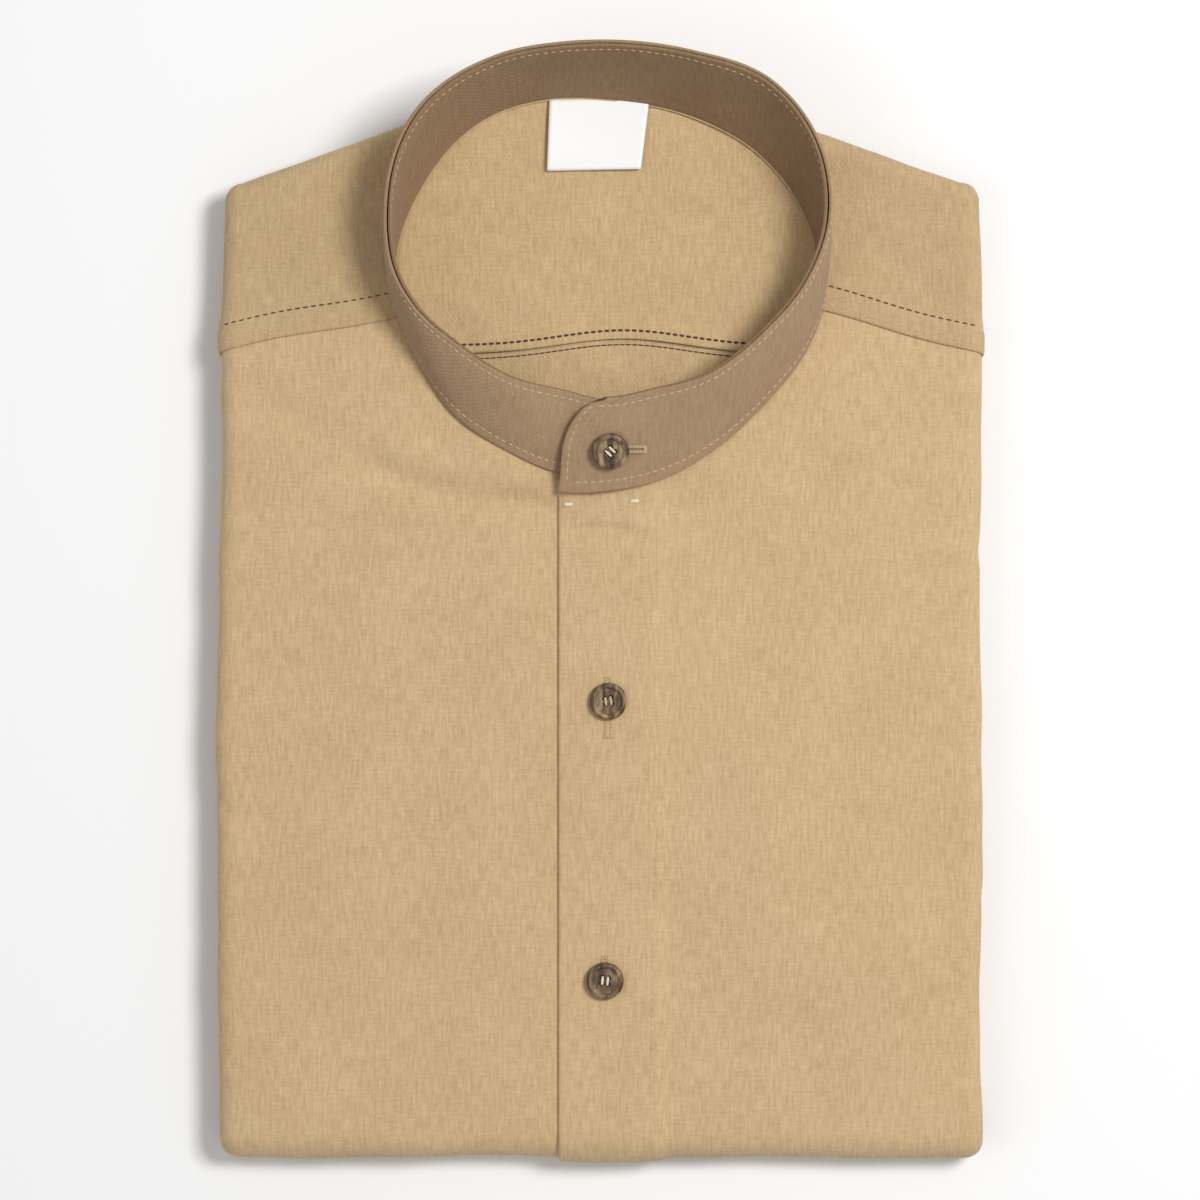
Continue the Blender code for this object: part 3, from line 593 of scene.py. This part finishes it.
def inside_seam_y(x):
    """The seam of the inner yoke, which rises in the middle."""
    return 77.6 * MM + 4.6 * MM * np.exp(-(((x - 7 * MM) / (27 * MM)) ** 2))


def inside_height(x, y):
    """Height of the cloth seen in the neck: a floor that falls to the front and turns up at the band."""
    floor = 12.4 * MM + 3.2 * MM * (y - 36 * MM) / (119 * MM)
    angle = np.degrees(np.arctan2(y - BASE_CENTRE[1], x - BASE_CENTRE[0]))
    angle = np.where(angle < -104, angle + 360, angle)
    share = np.hypot(x - BASE_CENTRE[0], y - BASE_CENTRE[1]) / station_values(angle)[0]
    rise = smooth(share, 0.72, 1.0)
    fold = 0.5 * MM * soft_waves(x, y, 34 * MM, 21) + 0.15 * MM * soft_waves(x, y, 12 * MM, 23)
    return floor + (16.0 * MM - floor) * rise + fold * (1 - rise)


def inside_rows():
    """Rows of plan points across the neck, from its front to its back, between the band's two sides."""
    angle = np.linspace(-90, 90, 150)
    turn = np.radians(angle)
    sides = []
    for sign, at in ((1, angle), (-1, 180 - angle)):
        reach = station_values(at)[0] + 0.6 * MM
        sides.append((BASE_CENTRE[0] + sign * reach * np.cos(turn), BASE_CENTRE[1] + reach * np.sin(turn)))
    share = np.linspace(0, 1, 90)
    (right_x, right_y), (left_x, left_y) = sides
    x = left_x[:, None] + (right_x - left_x)[:, None] * share
    y = left_y[:, None] + (right_y - left_y)[:, None] * share
    return x, y


def inner_yoke_height(x, y):
    """The inner yoke lies over the back and its own seam allowance, and settles behind the seam."""
    return inside_height(x, y) + 1.1 * MM * (1 - smooth(y - inside_seam_y(x), 1 * MM, 9 * MM))


def make_inside():
    """The inner faces of the back and the inner yoke: rows across the neck, with rows that close up to the
    seam. The back runs on under the inner yoke, whose edge lies a layer higher."""
    x, y = inside_rows()
    level = y.mean(axis=1)
    steps = np.linspace(0, 1, 9)[:, None]
    front, behind = level < 72 * MM, level > 84 * MM
    edge_x, edge_y = x[front][-1], y[front][-1]
    close = edge_y + (inside_seam_y(edge_x) + 1.5 * MM - edge_y) * steps[1:]
    back_x = np.concatenate([x[front], np.repeat(edge_x[None], 8, axis=0)])
    back_y = np.concatenate([y[front], close])
    back = np.stack([back_x, back_y, inside_height(back_x, back_y) - 0.4 * MM], axis=-1)
    edge_x, edge_y = x[behind][0], y[behind][0]
    seam = inside_seam_y(edge_x)
    yoke_x = np.concatenate([np.repeat(edge_x[None], 10, axis=0), x[behind]])
    rise = seam + (edge_y - seam) * steps[:-1] + 0.05 * MM
    yoke_y = np.concatenate([[seam + 0.3 * MM, seam], rise, y[behind]])
    yoke_z = inner_yoke_height(yoke_x, yoke_y)
    yoke_z[0] -= 0.8 * MM
    yoke_z[1] -= 0.45 * MM
    yoke = np.stack([yoke_x, yoke_y, yoke_z], axis=-1)
    pieces = (("back_inside_cloth", "back_inside", back), ("yoke_inside_cloth", "yoke_inside", yoke))
    for name, node, points in pieces:
        add_cloth(name, points, points[..., :2].copy(), INSIDE_CLOTH, node, 0.4 * MM)


make_inside()


def make_label():
    """The label: a bare satin ribbon, sewn in at the neck seam, that bows and lifts at its free end."""
    across, along = np.meshgrid(np.linspace(-1, 1, 31), np.linspace(0, 1, 25))
    middle = -0.3 * MM - 1.7 * MM * along
    half = 15.3 * MM - 0.9 * MM * along
    y = 155.6 * MM - 21.8 * MM * along + 0.3 * MM * across
    x = middle + half * across
    z = inside_height(x * 0.2, y) + 1.1 * MM + 0.9 * MM * np.sin(along * 2.6) + 0.3 * MM * across**2
    grid = np.stack([x, y, z], axis=-1)[:, ::-1]
    made = add_piece("neck_label_ribbon", grid.reshape(-1, 3), grid_quads(25, 31),
                     satin("white_satin_ribbon", "#f4f4f2"), grid[..., :2].reshape(-1, 2))
    wall = made.modifiers.new("wall", "SOLIDIFY")
    wall.thickness = 0.45 * MM
    wall.offset = -1
    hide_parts("neck_label")


make_label()


# ---------------------------------------------------------------- band collar


def band_surface(angle, level, side, off):
    """A point off one wall of the band: its middle surface, bowed between base and top, moved out along the
    normal, with soft waves and a dip along each row of stitching."""
    angle, level, off = np.broadcast_arrays(angle, level, off)

    def middle(a, share):
        base, base_z, top, top_z = station_values(a)
        turn = np.radians(a)
        cos, sin = np.cos(turn), np.sin(turn)
        low = np.stack([BASE_CENTRE[0] + base * cos, BASE_CENTRE[1] + base * sin, base_z], -1)
        high = np.stack([TOP_CENTRE[0] + top * cos, TOP_CENTRE[1] + top * sin, top_z], -1)
        return low + (high - low) * share[..., None]

    around = middle(angle + 0.5, level) - middle(angle - 0.5, level)
    up = middle(angle, level * 0 + 1) - middle(angle, level * 0)
    normal = np.cross(around, up)
    normal /= np.linalg.norm(normal, axis=-1)[..., None]
    belly = np.sin(math.pi * np.clip(level, 0, 1))
    bow = BAND_BOW * belly
    wave = 0.32 * MM * soft_waves(angle * MM, level * 24 * MM, 26 * MM, 31) * belly
    rows = np.exp(-(((level - 0.06) * 20) ** 2)) + np.exp(-(((level - 0.93) * 20) ** 2))
    dip = 0.16 * MM * rows * np.where(off * side > 0, side, 0)
    return middle(angle, level) + (side * BAND_OFFSET + off + bow + wave - dip)[..., None] * normal, normal


def tab_angle(angle, level):
    """Columns near the overlapping end run back as they rise, which rounds its corner by a quarter circle."""
    first, spread = BAND_STATIONS[0][0], 34.0
    rise = np.clip((level - TAB_ROUND_FROM) / (1 - TAB_ROUND_FROM), 0, 1)
    start = first + TAB_ROUND * (1 - np.sqrt(1 - rise**2))
    share = np.clip((angle - first) / spread, 0, 1)
    return np.where(angle < first + spread, start + (first + spread - start) * share, angle)


def make_band(name, side, node, material):
    """One wall of the band: a closed profile, two faces joined by round edges, carried round the neck."""
    half = BAND_HALF_WALL
    face = np.linspace(BAND_FOOT, 1, 22)
    bend = np.linspace(0, math.pi, 8)[1:-1]
    past_edge = half / BAND_HEIGHT * np.sin(bend)
    level = np.concatenate([face, 1 + past_edge, face[::-1], BAND_FOOT - past_edge])
    off = np.concatenate([np.full(22, half), half * np.cos(bend), np.full(22, -half), -half * np.cos(bend)])
    first, last = BAND_STATIONS[0][0], BAND_STATIONS[-1][0]
    near = np.array([0, 0.08, 0.25, 0.5, 0.9])
    columns = np.concatenate([first + near, np.arange(first + 1.5, last - 1.2, 1.25), last - near[::-1]])
    end = np.minimum(columns - first, last - columns)
    round_end = np.sqrt(np.clip(1 - (1 - np.clip(end / 0.9, 0, 1)) ** 2, 0.01, 1))
    angle, share = np.meshgrid(columns, level, indexing="ij")
    points, _ = band_surface(tab_angle(angle, np.clip(share, 0, 1)), share, side, off * round_end[:, None])
    count = len(level)
    quads = grid_quads(len(columns), count, round_columns=True).tolist()
    quads.append(list(reversed(range(count))))
    quads.append(list(range((len(columns) - 1) * count, len(columns) * count)))
    flat = np.stack([np.radians(angle) * 62 * MM, share * BAND_HEIGHT + (off < 0) * 40 * MM], axis=-1)
    made = add_piece(name, points.reshape(-1, 3), quads, material, flat.reshape(-1, 2))
    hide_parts(node)


make_band("collar_outer_cloth", 1, "collar_outer", BAND_CLOTH_PAINTED_SHADE)
make_band("collar_inner_cloth", -1, "collar_inner", BAND_LINING_PAINTED_SHADE)


# ---------------------------------------------------------------- stitches, tacks and loose threads


def stitch_mesh(name, centres, forward, normal, length, radius, material):
    """Many stitches as one mesh: each a small round-ended rod, bowed into the cloth at its ends."""
    t = np.array([-1, -0.82, -0.4, 0.4, 0.82, 1.0]) * length / 2
    r = np.array([0.05, 0.75, 1, 1, 0.75, 0.05]) * radius
    turn = np.arange(6) * math.pi / 3
    sideways = np.cross(normal, forward)
    sideways /= np.linalg.norm(sideways, axis=-1)[:, None]
    sink = -radius * 0.9 * (t / (length / 2)) ** 2
    ring = (
        centres[:, None, None] + t[None, :, None, None] * forward[:, None, None]
        + (r[:, None] * np.cos(turn))[None, :, :, None] * sideways[:, None, None]
        + (r[:, None] * np.sin(turn) + sink[:, None])[None, :, :, None] * normal[:, None, None]
    )
    one = grid_quads(6, 6, round_columns=True).tolist()
    one += [list(reversed(range(6))), list(range(30, 36))]
    faces = [[index + 36 * k for index in face] for k in range(len(centres)) for face in one]
    return add_piece(name, ring.reshape(-1, 3), faces, material)


def stitch_row(name, points, normals, pitch, length, radius, material):
    """Stitches at an even pitch along a path that is given as close points with the cloth's normals."""
    run = np.concatenate([[0], np.cumsum(np.linalg.norm(np.diff(points, axis=0), axis=1))])
    at = np.arange(pitch / 2, run[-1], pitch)
    centre = np.stack([np.interp(at, run, points[:, k]) for k in range(3)], axis=1)
    ahead = np.stack([np.interp(at + 0.2 * MM, run, points[:, k]) for k in range(3)], axis=1)
    normal = np.stack([np.interp(at, run, normals[:, k]) for k in range(3)], axis=1)
    forward = ahead - np.stack([np.interp(at - 0.2 * MM, run, points[:, k]) for k in range(3)], axis=1)
    forward /= np.linalg.norm(forward, axis=1)[:, None]
    return stitch_mesh(name, centre, forward, normal, length, radius, material)


TOPSTITCH = (2.4 * MM, 1.8 * MM, 0.2 * MM)  # pitch, length and radius of a stitch


def body_path(across, along, lift):
    """Points and normals of a line on the folded body, given in flat cloth."""
    points = lay_on_body(across, along, lift)
    one = lay_on_body(across + 0.1 * MM, along, lift) - points
    two = lay_on_body(across, along + 0.1 * MM, lift) - points
    normal = np.cross(one, two)
    return points, normal / np.linalg.norm(normal, axis=-1)[:, None]


YOKE_ROWS = (("top", 7.0 * MM, DARK_THREAD, 0.24 * MM), ("edge", 1.4 * MM, TAN_THREAD, 0.2 * MM))
for side, start, end in (("right", -116 * MM, -65.5 * MM), ("left", 69.5 * MM, 116 * MM)):
    across = np.linspace(start, end, 120)
    seam = yoke_seam_y(across)
    for row, above, colour, radius in YOKE_ROWS:
        along = seam + above
        lift = yoke_lift(across, along, seam) + crease_lift(across, along) + 0.12 * MM
        path = body_path(across, along, lift)
        stitch_row(f"yoke_{row}_stitches_{side}", *path, 2.5 * MM, 1.9 * MM, radius, colour)

along = np.linspace(-160 * MM, 24 * MM, 240)
across = placket_stitch_x(along)
lift = stand_lift_left(across, along) - 0.5 * MM + crease_lift(across, along) + 0.12 * MM
stitch_row("placket_stitches", *body_path(across, along, lift), *TOPSTITCH, TAN_THREAD)

angle = np.linspace(-100, 280, 700)
for name, side, level in (("collar_top_stitches_outer", 1, 0.93), ("collar_base_stitches_outer", 1, 0.06),
                          ("collar_top_stitches_inner", -1, 0.93)):
    levels = np.full(angle.shape, level)
    off = np.full(angle.shape, side * 0.55 * MM)
    points, normals = band_surface(tab_angle(angle, levels), levels, side, off)
    stitch_row(name, points, normals * side, *TOPSTITCH, TAN_THREAD)
level = np.linspace(0.06, 0.93, 40)
points, normals = band_surface(tab_angle(np.full(40, -102.0), level), level, 1, np.full(40, 0.55 * MM))
stitch_row("collar_tab_stitches", points, normals, *TOPSTITCH, TAN_THREAD)

x = np.linspace(-47 * MM, 47 * MM, 160)
INSIDE_ROWS = (
    ("inside_yoke_stitches_upper", 2.6 * MM, 2.1 * MM, 1.7 * MM, 0.36 * MM),
    ("inside_yoke_stitches_lower", -1.7 * MM, 1.9 * MM, 1.85 * MM, 0.2 * MM),
)
for name, above, pitch, length, radius in INSIDE_ROWS:
    y = inside_seam_y(x) + above
    height = inner_yoke_height(x, y) + 0.15 * MM if above > 0 else inside_height(x, y) - 0.25 * MM
    points = np.stack([x, y, height], axis=-1)
    stitch_row(name, points, np.tile([0.0, 0.0, 1.0], (160, 1)), pitch, length, radius, DARK_THREAD)


def buttonhole(name, centre, forward, normal, length):
    """A worked buttonhole: close cross stitches down both sides of the slit, and a bar at each end."""
    forward, normal = np.array(forward, float), np.array(normal, float)
    sideways = np.cross(normal, forward)
    at = np.arange(-length / 2, length / 2, 0.45 * MM)
    rows = [centre + at[:, None] * forward + side * 0.8 * MM * sideways for side in (-1, 1)]
    bar = np.linspace(-0.9, 0.9, 5)[:, None] * MM * sideways
    rows += [centre + end * length / 2 * forward + bar for end in (-1, 1)]
    centres = np.concatenate(rows)
    turned = np.concatenate([np.tile(sideways, (2 * len(at), 1)), np.tile(forward, (10, 1))])
    stitch_mesh(name, centres, turned, np.tile(normal, (len(centres), 1)), 1.2 * MM, 0.2 * MM, TAN_THREAD)


def stand_height(x, y):
    """Height of the button stand's face."""
    here = np.array([x]), np.array([y])
    return float(lay_on_body(*here, stand_lift_left(*here) - 0.5 * MM + crease_lift(*here))[0, 2])


for number, (name, (x, y)) in enumerate(FRONT_BUTTONS.items(), start=1):
    middle = y - 2.0 * MM
    centre = np.array([x, middle, stand_height(x, middle) + 0.1 * MM])
    buttonhole(f"buttonhole_front_{number}", centre, (0, 1, 0), (0, 0, 1), 18 * MM)
collar_angle, collar_level = np.array([-89.5]), np.array([0.43])
seat, seat_normal = band_surface(collar_angle, collar_level, 1, np.array([0.55 * MM]))
seat, seat_normal = seat[0], seat_normal[0]
round_neck = np.array([1.0, 0.0, 0.0])
round_neck -= seat_normal * (round_neck @ seat_normal)
round_neck /= np.linalg.norm(round_neck)
buttonhole("buttonhole_collar", seat + 3.2 * MM * round_neck, round_neck, seat_normal, 15 * MM)

tacks = np.array([[-9.9, 31.4, 0], [10.4, 32.4, 0]]) * MM
tacks[:, 2] = [stand_height(x, y) + 0.3 * MM for x, y, _ in tacks]
rows = np.concatenate([tack + np.array([[0, k * 0.3 * MM, 0] for k in (-1, 0, 1)]) for tack in tacks])
tack_run, tack_normal = np.tile([1.0, 0.05, 0], (6, 1)), np.tile([0.0, 0, 1], (6, 1))
stitch_mesh("placket_tacks", rows, tack_run, tack_normal, 3.0 * MM, 0.25 * MM, PALE_THREAD)


# ---------------------------------------------------------------- buttons


def make_button(name, seat, normal, turn, roughness, thread_material):
    """A turned four-hole button: rings from the middle of its face over the rim and under to the back. The
    face is dished, and sinks steeply inside each hole. Two bars of thread cross the holes."""
    normal = np.array(normal, float)
    right = np.array([1.0, 0, 0]) - normal * normal[0]
    right /= np.linalg.norm(right)
    ahead = np.cross(normal, right)
    radius, thick = BUTTON_RADIUS, BUTTON_THICK
    face_r = np.linspace(0, radius - 0.3 * MM, 62)
    face_z = thick - 0.7 * MM * (1 - smooth(face_r, radius - 2.1 * MM, radius - 1.3 * MM))
    face_z = face_z - 0.3 * MM * smooth(face_r, radius - 0.8 * MM, radius - 0.2 * MM)
    edge_r = np.array([radius, radius, radius - 0.4 * MM, radius - 2.1 * MM, 0.0])
    edge_z = np.array([thick * 0.62, thick * 0.45, thick * 0.2, 0.0, 0.0])
    ring_r, ring_z = np.concatenate([face_r, edge_r]), np.concatenate([face_z, edge_z])
    around = np.arange(96) * 2 * math.pi / 96
    u, v = ring_r[:, None] * np.cos(around), ring_r[:, None] * np.sin(around)
    z = np.repeat(ring_z[:, None], 96, axis=1)
    for k in range(4):
        hole = turn + math.pi / 4 + k * math.pi / 2
        away = np.hypot(u - BUTTON_HOLE_REACH * math.cos(hole), v - BUTTON_HOLE_REACH * math.sin(hole))
        pit = 1.2 * MM * (1 - smooth(away, BUTTON_HOLE_RADIUS - 0.12 * MM, BUTTON_HOLE_RADIUS + 0.05 * MM))
        z[:62] -= pit[:62]

    def place(a, b, c):
        return seat + a[..., None] * right + b[..., None] * ahead + c[..., None] * normal

    points = place(u, v, z)
    material = horn_button(f"horn_look_{name}", "#3c2b1d", "#6f5840", "#a58c69", roughness)
    quads = grid_quads(len(ring_r), 96, round_columns=True)[:, ::-1]
    made = add_piece(f"{name}_turned", points.reshape(-1, 3), quads, material)
    weld = made.modifiers.new("poles", "WELD")
    weld.merge_threshold = 0.001 * MM
    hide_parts(name)
    offset = BUTTON_HOLE_REACH * math.cos(math.pi / 4)
    a = np.array([-1, -1, 1, 1]) * offset + np.array([0, 0.28, 0, -0.28]) * MM
    centres = place(a * math.cos(turn), a * math.sin(turn), np.full(4, thick - 0.5 * MM))
    bar = -math.sin(turn) * right + math.cos(turn) * ahead
    bars, normals = np.tile(bar, (4, 1)), np.tile(normal, (4, 1))
    stitch_mesh(f"{name}_thread", centres, bars, normals, 2.9 * MM, 0.24 * MM, thread_material)
    # The shank of thread under the button.
    corners = np.array([(-1, -1), (-1, 1), (1, -1), (1, 1)]) * 0.4 * MM
    shank = seat - normal * 0.2 * MM + corners @ np.stack([right, ahead])
    sideways = np.tile(right, (4, 1))
    stitch_mesh(f"{name}_shank", shank, normals, sideways, 1.4 * MM, 0.35 * MM, thread_material)


for (name, (x, y)), turn, colour in zip(FRONT_BUTTONS.items(), (0.15, -0.1), (TAN_THREAD, PALE_THREAD)):
    make_button(name, np.array([x, y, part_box(name)[0][2]]), (0, 0, 1), turn, 0.34, colour)
make_button("button_collar", seat + seat_normal * 0.3 * MM, seat_normal, math.pi / 4, 0.5, PALE_THREAD)


# ---------------------------------------------------------------- floor, light and camera


def add_floor():
    """A flat white backdrop under the shirt."""
    mesh = bpy.data.meshes.new("floor")
    half = 4.0
    corners = [(-half, -half, 0), (half, -half, 0), (half, half, 0), (-half, half, 0)]
    mesh.from_pydata(corners, [], [(0, 1, 2, 3)])
    made = bpy.data.objects.new("floor", mesh)
    paint, _, shader = blank_material("white_paper_backdrop", Roughness=0.9)
    shader.inputs["Base Color"].default_value = linear("#f6f6f6")
    mesh.materials.append(paint)
    bpy.context.scene.collection.objects.link(made)
    made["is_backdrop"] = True


def add_light(name, place, size, power):
    """A square soft box at a place, turned to the middle of the shirt."""
    data = bpy.data.lights.new(name, "AREA")
    data.size = size
    data.energy = power
    made = bpy.data.objects.new(name, data)
    made.location = place
    made.rotation_euler = (-Vector(place)).to_track_quat("-Z", "Y").to_euler()
    bpy.context.scene.collection.objects.link(made)
    made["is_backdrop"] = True


add_floor()
add_light("soft_box_right", (0.8, 0.42, 1.5), 0.5, 21.5)
add_light("soft_box_left", (-1.1, -0.3, 1.5), 1.0, 3.5)
world = bpy.data.worlds.new("soft_studio")
world.use_nodes = True
world.node_tree.nodes["Background"].inputs["Color"].default_value = (1, 1, 1, 1)
world.node_tree.nodes["Background"].inputs["Strength"].default_value = 0.4
bpy.context.scene.world = world
bpy.context.scene.view_settings.view_transform = "Standard"

camera_data = bpy.data.cameras.new("camera")
camera_data.sensor_width = 36.0
camera_data.lens = 146.9
camera = bpy.data.objects.new("camera", camera_data)
camera.location = (-0.15 * MM, 2.05 * MM, CHEST_TOP + 1.5)
bpy.context.scene.collection.objects.link(camera)
bpy.context.scene.camera = camera

low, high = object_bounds()
